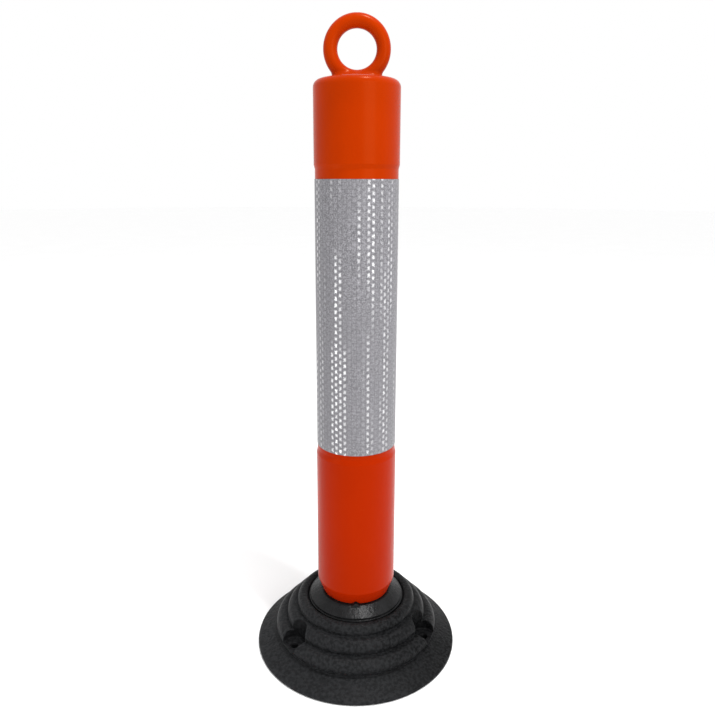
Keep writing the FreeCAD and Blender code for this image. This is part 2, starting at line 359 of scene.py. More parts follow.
def skin(field, place, counts, wraps=False):
    """Points and faces over the surface where a field changes sign, one point to each crossed cell.

    place turns step counts along the grid's three directions into points. With wraps, the
    grid's first direction closes on itself.
    """
    value = np.empty(counts)
    across = [np.arange(float(n)) for n in counts[1:]]
    for i in range(counts[0]):
        steps = np.stack(np.meshgrid([float(i)], *across, indexing="ij"), -1)
        value[i] = field(place(steps.reshape(-1, 3))).reshape(counts[1:])
    if wraps:
        value[-1] = value[0]
    inside = value < 0
    cells = tuple(n - 1 for n in counts)
    total = np.zeros(cells + (3,))
    crossings = np.zeros(cells, int)
    found = []
    for axis in range(3):
        low = tuple(slice(0, -1) if d == axis else slice(None) for d in range(3))
        high = tuple(slice(1, None) if d == axis else slice(None) for d in range(3))
        edges = np.argwhere(inside[low] != inside[high])
        at = tuple(edges.T)
        share = value[low][at] / (value[low][at] - value[high][at])
        spots = edges.astype(float)
        spots[:, axis] += share
        found.append((axis, edges, inside[low][at]))
        b, c = (axis + 1) % 3, (axis + 2) % 3
        for back_b in (0, 1):
            for back_c in (0, 1):
                cell = edges.copy()
                cell[:, b] -= back_b
                cell[:, c] -= back_c
                fits = ((cell >= 0) & (cell < cells)).all(1)
                np.add.at(total, tuple(cell[fits].T), spots[fits])
                np.add.at(crossings, tuple(cell[fits].T), 1)
    used = crossings > 0
    number = np.full(cells, -1)
    number[used] = np.arange(used.sum())
    points = place(total[used] / crossings[used][:, None])
    faces = []
    for axis, edges, starts_inside in found:
        b, c = (axis + 1) % 3, (axis + 2) % 3
        keep = np.ones(len(edges), bool)
        for d in (b, c):
            if wraps and d == 0:
                keep &= edges[:, d] < cells[d]
            else:
                keep &= (edges[:, d] > 0) & (edges[:, d] < cells[d])
        edges, starts_inside = edges[keep], starts_inside[keep]
        corners = []
        for step_b, step_c in ((-1, -1), (0, -1), (0, 0), (-1, 0)):
            cell = edges.copy()
            cell[:, b] += step_b
            cell[:, c] += step_c
            if wraps:
                cell[:, 0] %= cells[0]
            corners.append(number[tuple(cell.T)])
        quads = np.stack(corners, 1)
        quads[~starts_inside] = quads[~starts_inside][:, ::-1]
        faces.append(quads)
    return points, np.concatenate(faces)


def refined(field, points, quads, chosen):
    """The chosen faces split in four, with every new point laid onto the field's surface."""
    mesh = bpy.data.meshes.new("refined")
    mesh.from_pydata(points.tolist(), [], quads.tolist())
    work = bmesh.new()
    work.from_mesh(mesh)
    work.faces.ensure_lookup_table()
    edges = {edge for index in np.flatnonzero(chosen) for edge in work.faces[index].edges}
    bmesh.ops.subdivide_edges(work, edges=list(edges), cuts=1, use_grid_fill=True)
    work.verts.index_update()
    spots = np.array([vert.co for vert in work.verts])
    faces = [[vert.index for vert in face.verts] for face in work.faces]
    work.free()
    bpy.data.meshes.remove(mesh)
    return onto(field, spots), faces


def onto(field, points, times=3):
    """Points moved along the field's slope onto its surface."""
    reach = 0.1 * MM
    for _ in range(times):
        slope = np.stack([
            (field(points + reach * axis) - field(points - reach * axis)) / (2 * reach) for axis in np.eye(3)
        ], -1)
        steepness = np.maximum((slope ** 2).sum(1), 0.05)
        points = points - (field(points) / steepness)[:, None] * slope
    return points


def settled(field, points, quads, rounds=8):
    """Points spread evenly over the field's surface."""
    for _ in range(rounds):
        middles = points[quads].mean(1)
        total = np.zeros_like(points)
        for corner in range(4):
            for axis in range(3):
                total[:, axis] += np.bincount(quads[:, corner], middles[:, axis], len(points))
        count = np.bincount(quads.ravel(), minlength=len(points))
        points = onto(field, total / count[:, None], 1)
    return onto(field, points)


# ---------------------------------------------------------------- finishes

class Finish:
    """A procedural material, with short calls for the nodes that finishes share."""

    def __init__(self, name, roughness=0.5, metallic=0.0, specular=0.5, coat=0.0, coat_roughness=0.1):
        self.material = bpy.data.materials.new(name)
        self.material.use_nodes = True
        self.tree = self.material.node_tree
        self.shader = self.tree.nodes["Principled BSDF"]
        self.set("Roughness", roughness)
        self.set("Metallic", metallic)
        self.set("Specular IOR Level", specular)
        self.set("Coat Weight", coat)
        self.set("Coat Roughness", coat_roughness)
        self.place = self.node("ShaderNodeTexCoord").outputs["Object"]

    def set(self, socket, value):
        self.feed(self.shader.inputs[socket], value)

    def feed(self, socket, value):
        """Link a node's output to a socket, or set the socket to a plain value."""
        if isinstance(value, bpy.types.NodeSocket):
            self.tree.links.new(value, socket)
        elif hasattr(value, "__len__") and socket.type == "RGBA":
            socket.default_value = (*value, 1.0)
        else:
            socket.default_value = value

    def node(self, kind, **settings):
        node = self.tree.nodes.new(kind)
        for name, value in settings.items():
            setattr(node, name, value)
        return node

    def math(self, operation, a, b=0.0, c=0.0):
        node = self.node("ShaderNodeMath", operation=operation)
        for socket, value in zip(node.inputs, (a, b, c)):
            self.feed(socket, value)
        return node.outputs[0]

    def parts(self):
        """The object's own x, y and z."""
        node = self.node("ShaderNodeSeparateXYZ")
        self.feed(node.inputs[0], self.place)
        return node.outputs

    def joined(self, x, y, z):
        node = self.node("ShaderNodeCombineXYZ")
        for socket, value in zip(node.inputs, (x, y, z)):
            self.feed(socket, value)
        return node.outputs[0]

    def stretched(self, scale):
        """The object's own coordinates, scaled differently along each axis."""
        node = self.node("ShaderNodeMapping")
        self.feed(node.inputs["Vector"], self.place)
        node.inputs["Scale"].default_value = scale
        return node.outputs[0]

    def noise(self, size, detail=3.0, roughness=0.5, vector=None):
        """Soft noise, from 0 to 1, with features about size metres across."""
        node = self.node("ShaderNodeTexNoise")
        self.feed(node.inputs["Vector"], vector or self.place)
        node.inputs["Scale"].default_value = 1.0 / size
        node.inputs["Detail"].default_value = detail
        node.inputs["Roughness"].default_value = roughness
        return node.outputs[0]

    def grains(self, size):
        """Distance from the middle of rounded grains about size metres apart."""
        node = self.node("ShaderNodeTexVoronoi")
        self.feed(node.inputs["Vector"], self.place)
        node.inputs["Scale"].default_value = 1.0 / size
        return node.outputs["Distance"]

    def between(self, value, low, high, to_low=0.0, to_high=1.0):
        """A smooth rise from to_low to to_high as value goes from low to high."""
        node = self.node("ShaderNodeMapRange", interpolation_type="SMOOTHSTEP")
        for socket, setting in zip(node.inputs, (value, low, high, to_low, to_high)):
            self.feed(socket, setting)
        return node.outputs[0]

    def mix(self, share, a, b):
        node = self.node("ShaderNodeMix", data_type="RGBA")
        self.feed(node.inputs["Factor"], share)
        self.feed(node.inputs[6], a)
        self.feed(node.inputs[7], b)
        return node.outputs[2]

    def bump(self, height, depth, strength=1.0, under=None):
        """Surface relief depth metres tall, laid over the relief under it."""
        node = self.node("ShaderNodeBump")
        node.inputs["Strength"].default_value = strength
        node.inputs["Distance"].default_value = depth
        self.feed(node.inputs["Height"], height)
        if under is not None:
            self.feed(node.inputs["Normal"], under)
        return node.outputs[0]


def tinted(colour, factor):
    return tuple(min(1.0, channel * factor) for channel in colour)


# Deeper orange painted low on the post: painted shade.
PAINTED_SHADE_ORANGE = (0.30, 0.006, 0.0)
SCUFFED_ORANGE = (0.46, 0.10, 0.03)
ORANGE_GLOSS = (1.0, 0.5, 0.16, 1.0)


def post_finish(colours):
    """Orange moulded plastic with painted shade low down, flow marks, a parting line and light scuffs."""
    orange = tuple(colours.orange)
    look = Finish("orange_moulded_plastic", specular=0.07)
    look.shader.inputs["Specular Tint"].default_value = ORANGE_GLOSS
    cloud = look.noise(90 * MM, 3.0)
    flow = look.noise(9 * MM, 4.0, vector=look.stretched((1.0, 1.0, 0.07)))
    colour = look.mix(look.between(cloud, 0.3, 0.7), tinted(orange, 0.94), tinted(orange, 1.04))
    streak = (orange[0] * 0.95, orange[1] * 0.86, orange[2])
    colour = look.mix(look.between(flow, 0.35, 0.75, 0.0, 0.35), colour, streak)
    scuff = look.noise(5 * MM, 6.0, 0.7, vector=look.stretched((1.0, 1.0, 0.35)))
    scuffed = look.math("MULTIPLY", look.between(scuff, 0.66, 0.74), look.between(cloud, 0.45, 0.62))
    colour = look.mix(look.math("MULTIPLY", scuffed, 0.10), colour, SCUFFED_ORANGE)
    _, y, z = look.parts()
    # Below the sleeve the orange is painted deeper, blending to its plain colour just above the sleeve:
    # painted shade.
    painted_shade_fade = look.between(z, SLEEVE_BOTTOM - 20 * MM, SLEEVE_TOP + 20 * MM)
    look.set("Base Color", look.mix(painted_shade_fade, look.mix(0.55, colour, PAINTED_SHADE_ORANGE), colour))
    gloss = look.math("MULTIPLY_ADD", look.noise(14 * MM, 4.0), 0.1, 0.2)
    look.set("Roughness", look.math("MULTIPLY_ADD", scuffed, 0.2, gloss))
    parting = look.between(look.math("ABSOLUTE", y), 0.15 * MM, 0.55 * MM, 1.0, 0.0)
    relief = look.bump(parting, 0.12 * MM, 0.6)
    relief = look.bump(look.noise(3.2 * MM, 2.0), 0.05 * MM, 0.55, relief)
    relief = look.bump(look.noise(0.7 * MM, 2.0), 0.012 * MM, 0.5, relief)
    look.set("Normal", relief)
    return look.material


CELL_WIDTH = 5.3 * MM
CELL_HEIGHT = 7.6 * MM
# White painted into the cells that catch the light: painted glints.
PAINTED_GLINT = (0.95, 0.95, 0.96)

# Bands of cells painted as glints, where the prisms would catch the light: angle from the front and half
# width in degrees, lowest and highest share of the sleeve's height, and strength. A share below 0 or
# above 1 takes the band to the sleeve's edge.
PAINTED_GLINT_BANDS = (
    (-27.5, 7.0, -0.2, 0.82, 1.0),
    (-26.0, 15.0, -0.2, 0.36, 0.85),
    (19.5, 5.0, 0.68, 1.2, 0.8),
    (14.0, 5.0, -0.2, 0.42, 0.45),
    (44.5, 5.0, -0.2, 0.75, 0.55),
    (-61.0, 7.0, -0.2, 1.2, 0.35),
)


def sheeting_finish(colours):
    """Grey prismatic sheeting: staggered columns of cells, some of them painted white as painted glints."""
    ground = tuple(colours.sheeting)
    look = Finish("prismatic_sheeting", specular=0.2, coat=0.1, coat_roughness=0.2)
    radius = radius_of("reflective_sleeve")
    x, y, z = look.parts()
    round_angle = look.math("ARCTAN2", x, look.math("MULTIPLY", y, -1.0))
    along = look.math("MULTIPLY", round_angle, radius / CELL_WIDTH)
    column = look.math("FLOOR", along)
    across = look.math("SUBTRACT", look.math("FRACT", along), 0.5)
    stagger = look.math("MULTIPLY", look.math("FLOORED_MODULO", column, 2.0), 0.5)
    rows = look.math("ADD", look.math("DIVIDE", z, CELL_HEIGHT), stagger)
    row = look.math("FLOOR", rows)
    up = look.math("SUBTRACT", look.math("FRACT", rows), 0.5)

    ragged = look.math("MULTIPLY_ADD", look.noise(1.3 * MM, 2.0, 0.6), 0.7, -0.35)
    wide = look.math("ADD", look.math("ABSOLUTE", across), ragged)
    tall = look.math("ADD", look.math("ABSOLUTE", up), ragged)
    window = look.math(
        "MULTIPLY", look.between(wide, 0.16, 0.3, 1.0, 0.0), look.between(tall, 0.16, 0.3, 1.0, 0.0))
    wander = look.joined(look.math("MULTIPLY", column, 3.7), look.math("MULTIPLY", z, 5.0), 17.0)
    lit_column = look.between(look.noise(1.0, 1.0, vector=wander), 0.5, 0.7, 0.0, 0.6)
    share = look.between(z, SLEEVE_BOTTOM, SLEEVE_TOP)
    middle = look.math("MULTIPLY", look.math("ADD", column, 0.5), CELL_WIDTH / radius)
    fade = 0.06
    for angle, half_width, lowest, highest, strength in PAINTED_GLINT_BANDS:
        away = look.math("ABSOLUTE", look.math("SUBTRACT", middle, radians(angle)))
        band = look.between(away, radians(half_width * 0.5), radians(half_width), strength, 0.0)
        above = look.between(share, lowest - fade, lowest + fade)
        below = look.between(share, highest - fade, highest + fade, 1.0, 0.0)
        band = look.math("MULTIPLY", look.math("MULTIPLY", band, above), below)
        lit_column = look.math("MAXIMUM", lit_column, band)
    twinkle = look.node("ShaderNodeTexWhiteNoise", noise_dimensions="2D")
    look.feed(twinkle.inputs["Vector"], look.joined(column, row, 0.0))
    lit = look.math("MULTIPLY", lit_column, look.math("MULTIPLY_ADD", twinkle.outputs["Value"], 0.5, 0.5))
    painted_glint = look.math("MULTIPLY", window, lit)

    corner = look.math("MAXIMUM", look.math("ABSOLUTE", across), look.math("ABSOLUTE", up))
    net = look.between(corner, 0.40, 0.49)
    crumb = look.noise(1.5 * MM, 3.0, 0.75)
    ground_colour = look.mix(look.between(crumb, 0.36, 0.64), tinted(ground, 0.55), tinted(ground, 1.4))
    cloud = look.noise(60 * MM, 2.0)
    ground_colour = look.mix(look.between(cloud, 0.35, 0.65, 0.0, 0.5), ground_colour, tinted(ground, 0.92))
    ground_colour = look.mix(look.math("MULTIPLY", net, 0.5), ground_colour, tinted(ground, 0.5))
    # The lit cells are painted white: painted glints, fixed to the sleeve.
    look.set("Base Color", look.mix(painted_glint, ground_colour, PAINTED_GLINT))
    look.set("Roughness", look.math("MULTIPLY_ADD", crumb, 0.2, 0.35))
    prisms = look.bump(look.grains(1.4 * MM), 0.12 * MM, 0.5)
    look.set("Normal", look.bump(net, 0.06 * MM, 0.5, prisms))
    return look.material


DUST = (0.05, 0.049, 0.047)


def near_pockets(look, x, y):
    """1 inside the round of each anchor pocket and 0 outside, as a socket of the finish."""
    near = 0.0
    for centre_x, centre_y in POCKETS:
        east = look.math("POWER", look.math("SUBTRACT", x, centre_x), 2.0)
        north = look.math("POWER", look.math("SUBTRACT", y, centre_y), 2.0)
        reach = look.math("SQRT", look.math("ADD", east, north))
        pocket = look.between(reach, POCKET_RADIUS - 0.6 * MM, POCKET_RADIUS + 0.5 * MM, 1.0, 0.0)
        near = look.math("ADD", near, pocket)
    return near


def rubber_finish(colours):
    """Matt black rubber with pressed crumb, painted light on its front left, dusty patches and painted shade
    in the pockets.
    """
    rubber = tuple(colours.rubber)
    look = Finish("moulded_rubber", specular=0.045)
    crumb = look.grains(2.6 * MM)
    speck = look.noise(3.4 * MM, 3.0, 0.6)
    cloud = look.noise(35 * MM, 4.0, 0.6)
    colour = look.mix(look.between(speck, 0.42, 0.58), tinted(rubber, 0.3), tinted(rubber, 1.9))
    colour = look.mix(look.between(cloud, 0.35, 0.7, 0.0, 0.5), colour, tinted(rubber, 1.6))
    x, y, z = look.parts()
    # The front left of the base is painted paler: painted light, fixed to the base.
    forward = look.math("ADD", look.math("MULTIPLY", x, -0.6), look.math("MULTIPLY", y, -0.8))
    painted_front_light = look.between(forward, -0.02, 0.12, 0.0, 0.7)
    pale = look.mix(look.between(speck, 0.28, 0.72), tinted(rubber, 1.9), tinted(rubber, 3.9))
    colour = look.mix(painted_front_light, colour, pale)
    # On the walls of the anchor pockets the rubber is painted near black: painted shade.
    above_floor = look.between(z, POCKET_FLOOR - 1 * MM, POCKET_FLOOR + 2.0 * MM)
    painted_pocket_shade = look.math("MULTIPLY", near_pockets(look, x, y), above_floor)
    colour = look.mix(painted_pocket_shade, colour, tinted(rubber, 0.05))
    powder = look.between(look.noise(4 * MM, 5.0, 0.7), 0.55, 0.75)
    dust = look.math("MULTIPLY", powder, look.between(cloud, 0.4, 0.65))
    colour = look.mix(look.math("MULTIPLY", dust, 0.28), colour, DUST)
    look.set("Base Color", colour)
    look.set("Roughness", look.math("MULTIPLY_ADD", speck, 0.2, 0.26))
    relief = look.bump(look.between(crumb, 0.05, 0.6), 0.2 * MM, 0.5)
    relief = look.bump(speck, 1.0 * MM, 1.0, relief)
    relief = look.bump(look.noise(12 * MM, 3.0), 0.5 * MM, 0.35, relief)
    look.set("Normal", relief)
    return look.material


def collar_finish(colours):
    """Glossy black moulded plastic with a lightly pitted skin."""
    collar = tuple(colours.collar)
    look = Finish("black_collar_plastic", specular=0.14)
    cloud = look.noise(16 * MM, 4.0, 0.6)
    colour = look.mix(look.between(cloud, 0.3, 0.7), tinted(collar, 0.8), tinted(collar, 1.5))
    look.set("Base Color", colour)
    look.set("Roughness", look.math("MULTIPLY_ADD", cloud, 0.16, 0.2))
    pits = look.bump(look.noise(1.1 * MM, 3.0, 0.65), 0.16 * MM, 0.9)
    look.set("Normal", look.bump(look.noise(3.5 * MM, 3.0), 0.5 * MM, 0.9, pits))
    return look.material


def zinc_finish(name, colour, grain):
    """Zinc-plated steel with a crystalline bloom and fine tool marks."""
    look = Finish(name, metallic=1.0)
    bloom = look.grains(grain)
    cloud = look.noise(9 * MM, 4.0)
    tone = look.mix(look.between(bloom, 0.1, 0.8), tinted(colour, 0.78), colour)
    look.set("Base Color", look.mix(look.between(cloud, 0.35, 0.7, 0.0, 0.5), tone, tinted(colour, 0.6)))
    look.set("Roughness", look.math("MULTIPLY_ADD", cloud, 0.3, 0.22))
    marks = look.noise(0.6 * MM, 3.0, vector=look.stretched((1.0, 0.1, 1.0)))
    relief = look.bump(marks, 0.02 * MM, 0.4)
    look.set("Normal", look.bump(bloom, 0.02 * MM, 0.3, relief))
    return look.material


def ring_rubber_finish(colours):
    """Smooth moulded rubber of the grip rings, with a faint sheen and mould grain."""
    rubber = tuple(colours.rubber)
    look = Finish("grip_ring_rubber", specular=0.4)
    grain = look.noise(0.8 * MM, 3.0)
    cloud = look.noise(12 * MM, 3.0)
    look.set("Base Color", look.mix(look.between(cloud, 0.3, 0.7), tinted(rubber, 0.7), tinted(rubber, 1.3)))
    look.set("Roughness", look.math("MULTIPLY_ADD", grain, 0.25, 0.35))
    look.set("Normal", look.bump(grain, 0.05 * MM, 0.5))
    return look.material


def floor_finish(colours):
    """Pale studio floor with a barely visible grain."""
    look = Finish("studio_floor", roughness=0.9, specular=0.1)
    cloud = look.noise(0.25, 3.0)
    colour = tuple(colours.floor)
    look.set("Base Color", look.mix(look.between(cloud, 0.3, 0.7), tinted(colour, 0.99), colour))
    look.set("Normal", look.bump(look.noise(4 * MM, 2.0), 0.05 * MM, 0.2))
    return look.material


def coat(piece, material):
    """Give a piece its only material."""
    piece.data.materials.clear()
    piece.data.materials.append(material)


def refinish(node, material):
    """Give a CAD node's material slots a better finish."""
    piece = CAD_NODES[node]
    if not piece.material_slots:
        piece.data.materials.append(material)
    for place in piece.material_slots:
        place.material = material


# ---------------------------------------------------------------- the post

POST_WALL = 4.5 * MM
RECESS_RADIUS = POST_RADIUS - 1.2 * MM
RECESS_TOP = SLEEVE_TOP + 10.7 * MM
RECESS_BOTTOM = SLEEVE_BOTTOM - 5.8 * MM
STEP_TOP = RECESS_TOP + 4.8 * MM
STEP_BOTTOM = RECESS_BOTTOM - 5.9 * MM
SHOULDER_Z = TOTAL_HEIGHT - 67.7 * MM
SHOULDER_RADIUS = 8.3 * MM
CROWN_Z = TOTAL_HEIGHT - 65.5 * MM
RING_OUTER = 36.4 * MM
RING_HOLE = 21.5 * MM
SKIN_BOTTOM = SHOULDER_Z - 14.0 * MM
FOOT_BORE = 37.5 * MM
RIM_RADIUS = 41.8 * MM
TAPER_TOP = RIM + 15.8 * MM
NOTCH_TOP = 4.3 * MM
NOTCH_HALF_WIDTH = 4.84 * MM


def post_angles(count):
    """Facet angles with a closer set at the front, where the notch is."""
    step = 2 * pi / count
    notch = atan2(NOTCH_HALF_WIDTH, RIM_RADIUS)
    close = np.linspace(-notch, notch, 13)
    front = 3 * pi / 2
    far = [a for a in even_angles(count) if abs(a - front) > notch + 0.4 * step]
    return np.array(sorted(far + [front + a for a in close]))


def tube_end(outer, inner, count):
    """Faces that close the wall between two rings of points, given where each ring starts."""
    return [
        (outer + i, outer + (i + 1) % count, inner + (i + 1) % count, inner + i) for i in range(count)
    ]


def post_lower_mesh(sizes):
    """Tapered foot and lower bending stretch, as one closed turned wall with a notch in its rim."""
    angles = post_angles(sizes.around)
    inner = POST_RADIUS - POST_WALL
    outline = rounded([
        (FOOT_BORE + 0.8 * MM, RIM, 0),
        (RIM_RADIUS, RIM, 1.1 * MM),
        (POST_RADIUS, TAPER_TOP, sizes.taper_rounding * 2.5),
        (POST_RADIUS, FLEX_MIDDLE, 0),
    ], 7)
    lowest = len([p for p in outline if p[1] < RIM + NOTCH_TOP])
    outline = outline[:lowest] + divided(outline[lowest - 1:], 4.0 * MM)[1:]
    outline += divided([
        (inner, FLEX_MIDDLE),
        (inner, FLEX_BOTTOM + 15 * MM),
        (FOOT_BORE, FLEX_BOTTOM + 3 * MM),
        (FOOT_BORE, RIM + 6 * MM),
    ], 5.0 * MM)
    outline.append((FOOT_BORE, RIM + 0.8 * MM))
    points, faces = turned(outline, angles, closed=True)
    slope = (POST_RADIUS - RIM_RADIUS) / (TAPER_TOP - RIM)
    distance = np.hypot(points[:, 0], points[:, 1])
    lift = NOTCH_TOP * (1 - np.abs(points[:, 0]) / NOTCH_HALF_WIDTH)
    lift[(points[:, 1] > 0) | (points[:, 2] > RIM + NOTCH_TOP)] = 0
    lift = np.maximum(lift, 0)
    flare = np.where(distance > FOOT_BORE + 0.7 * MM, 1 + lift * slope / distance, 1.0)
    points[:, 0] *= flare
    points[:, 1] *= flare
    points[:, 2] += lift
    return points, faces


def crown_field(sizes):
    """Distance to the solid crown with its ring, joined by a soft fillet."""
    outline = rounded([
        (0, RECESS_TOP, 0),
        (POST_RADIUS, RECESS_TOP, 0),
        (POST_RADIUS, SHOULDER_Z, SHOULDER_RADIUS),
        (POST_RADIUS - SHOULDER_RADIUS, SHOULDER_Z, 0),
    ], 12)[:-1]
    edge = POST_RADIUS - SHOULDER_RADIUS
    dome = CROWN_Z - SHOULDER_Z
    outline += [(edge * cos(a), SHOULDER_Z + dome * sin(a) ** 1.6) for a in np.linspace(0, pi / 2, 24)]
    mirrored = [(-r, z) for r, z in reversed(outline[1:-1])]
    section = Section(outline + mirrored, 0.5 * MM)
    middle = (RING_OUTER + RING_HOLE) / 2
    thickness = (RING_OUTER - RING_HOLE) / 2
    height = TOTAL_HEIGHT - RING_OUTER
    blend = sizes.crown_blend

    def field(p):
        post = section(np.hypot(p[:, 0], p[:, 1]), p[:, 2])
        ring = np.hypot(np.hypot(p[:, 0], p[:, 2] - height) - middle, p[:, 1]) - thickness
        return soft_min(post, ring, blend)

    return field


def post_upper_piece(sizes):
    """Upper bending stretch, body, crown and ring, as one closed hollow skin."""
    angles = post_angles(sizes.around)
    count = len(angles)
    tube = divided(rounded([
        (POST_RADIUS, FLEX_MIDDLE, 0),
        (POST_RADIUS, STEP_BOTTOM, sizes.step_rounding),
        (RECESS_RADIUS, RECESS_BOTTOM, sizes.step_rounding),
        (RECESS_RADIUS, RECESS_TOP, sizes.step_rounding),
        (POST_RADIUS, STEP_TOP, sizes.step_rounding),
        (POST_RADIUS, SKIN_BOTTOM, 0),
    ]), 6.0 * MM)
    ceiling = CROWN_Z - 6.0 * MM
    recess_bore = RECESS_RADIUS - POST_WALL + 0.8 * MM
    inside = divided(rounded([
        (POST_RADIUS - POST_WALL, FLEX_MIDDLE, 0),
        (POST_RADIUS - POST_WALL, STEP_BOTTOM, 0),
        (recess_bore, RECESS_BOTTOM, 0),
        (recess_bore, RECESS_TOP, 0),
        (POST_RADIUS - POST_WALL, STEP_TOP, 0),
        (POST_RADIUS - POST_WALL, ceiling - 10 * MM, 8 * MM),
        (POST_RADIUS - 14 * MM, ceiling - 8 * MM, 2 * MM),
        (0, ceiling, 0),
    ]), 8.0 * MM)
    outer_points, outer_faces = turned(tube, angles)
    inner_points, inner_faces = turned(inside, angles)
    points, faces = merged((outer_points, outer_faces), (inner_points, inner_faces))
    faces += tube_end(0, len(outer_points), count)

    step = sizes.crown_mesh
    field = crown_field(sizes)
    low = np.array([-POST_RADIUS - 1.5 * step, -POST_RADIUS - 1.5 * step, SKIN_BOTTOM - 4 * step])
    size = np.array([2 * POST_RADIUS, 2 * POST_RADIUS, TOTAL_HEIGHT - SKIN_BOTTOM + 4 * step]) + 3 * step
    counts = tuple(int(n) for n in np.ceil(size / step) + 1)
    skin_points, quads = skin(field, lambda steps: low + steps * step, counts)
    skin_points = settled(field, skin_points, quads)
    skin_points[:, 2] = np.minimum(skin_points[:, 2], TOTAL_HEIGHT)

    work = bmesh.new()
    crown = bpy.data.meshes.new("crown_skin")
    crown.from_pydata(skin_points.tolist(), [], quads.tolist())
    work.from_mesh(crown)
    everything = work.verts[:] + work.edges[:] + work.faces[:]
    cut_height = SKIN_BOTTOM + step
    bmesh.ops.bisect_plane(
        work, geom=everything, dist=1e-7, plane_co=(0, 0, cut_height), plane_no=(0, 0, 1), clear_inner=True)
    bmesh.ops.remove_doubles(work, verts=work.verts, dist=0.02 * MM)
    for vert in work.verts:
        if abs(vert.co.z - cut_height) < 1e-6:
            vert.co.z = cut_height
            distance = np.hypot(vert.co.x, vert.co.y)
            vert.co.x *= POST_RADIUS / distance
            vert.co.y *= POST_RADIUS / distance
    work.to_mesh(crown)
    work.free()

    mesh = bpy.data.meshes.new("post_upper")
    mesh.from_pydata(points.tolist(), [], faces)
    work = bmesh.new()
    work.from_mesh(mesh)
    work.from_mesh(crown)
    loops = [edge for edge in work.edges if edge.is_boundary]
    bmesh.ops.bridge_loops(work, edges=loops)
    work.to_mesh(mesh)
    work.free()
    bpy.data.meshes.remove(crown)
    piece = bpy.data.objects.new("post_upper", mesh)
    bpy.context.scene.collection.objects.link(piece)
    tidy_mesh(piece, 50.0)
    return piece


class DELINEATOR_OT_post(bpy.types.Operator):
    """Build the orange post, from its tapered foot to the ring on its crown"""

    bl_idname = "delineator.post"
    bl_label = "Post"

    def execute(self, context):
        sizes = context.scene.delineator_post
        material = post_finish(context.scene.delineator_colours)
        lower = new_piece("post_lower", *post_lower_mesh(sizes))
        upper = post_upper_piece(sizes)
        for piece in (lower, upper):
            coat(piece, material)
        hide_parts("post_foot", "post_flex_lower")
        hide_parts("post_flex_upper", "post_body")
        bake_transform(lower)
        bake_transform(upper)
        return {"FINISHED"}


# ---------------------------------------------------------------- the reflective sleeve

class DELINEATOR_OT_sleeve(bpy.types.Operator):
    """Wrap the reflective sheeting round the post, with its lap joint at the back"""

    bl_idname = "delineator.sleeve"
    bl_label = "Reflective sleeve"

    def execute(self, context):
        film = 0.38 * MM
        inner = RECESS_RADIUS + 0.1 * MM
        lap = 12.0 * MM / inner
        climb = 9.0 * MM / inner
        turn = 2 * pi + lap
        start = pi / 2 - lap / 2
        count = context.scene.delineator_post.around
        spread = np.concatenate([
            np.linspace(0, lap, 16, endpoint=False),
            np.linspace(lap, 2 * pi - climb, count, endpoint=False),
            np.linspace(2 * pi - climb, turn, 30),
        ])
        rise = np.clip((spread - (2 * pi - climb)) / climb, 0, 1)
        base_radius = inner + (film + 0.02 * MM) * rise * rise * (3 - 2 * rise)
        soft = 0.12 * MM
        section = [
            (0.0, SLEEVE_BOTTOM), (film - soft, SLEEVE_BOTTOM), (film, SLEEVE_BOTTOM + soft),
            *[(film, z) for z in np.linspace(SLEEVE_BOTTOM, SLEEVE_TOP, 26)[1:-1]],
            (film, SLEEVE_TOP - soft), (film - soft, SLEEVE_TOP), (0.0, SLEEVE_TOP),
        ]
        points = [
            ((radius + out) * cos(start + angle), (radius + out) * sin(start + angle), z)
            for angle, radius in zip(spread, base_radius) for out, z in section
        ]
        piece = new_piece("reflective_band", points, closed_bar(len(spread), len(section)))
        coat(piece, sheeting_finish(context.scene.delineator_colours))
        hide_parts("reflective_sleeve")
        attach(piece, "post")
        return {"FINISHED"}


# ---------------------------------------------------------------- the lock collar

FLANGE_RADIUS = radius_of("lock_collar")
SEAT = 57.3 * MM


def gable_mesh(width, height, bottom, inner, outer, rounding):
    """A rounded three-sided bar pointing up, lying along -Y."""
    outline = rounded([
        (-width / 2, bottom, 0), (0, bottom + height, rounding), (width / 2, bottom, 0),
    ], 6)
    inset = 0.6 * MM
    rings = [(inner, 1.0), (outer - inset, 1.0), (outer - 0.25 * inset, 0.93), (outer, 0.8)]
    points = [
        (x * share, -reach, bottom + (z - bottom) * share) for reach, share in rings for x, z in outline
    ]
    return np.array(points), closed_bar(len(rings), len(outline))


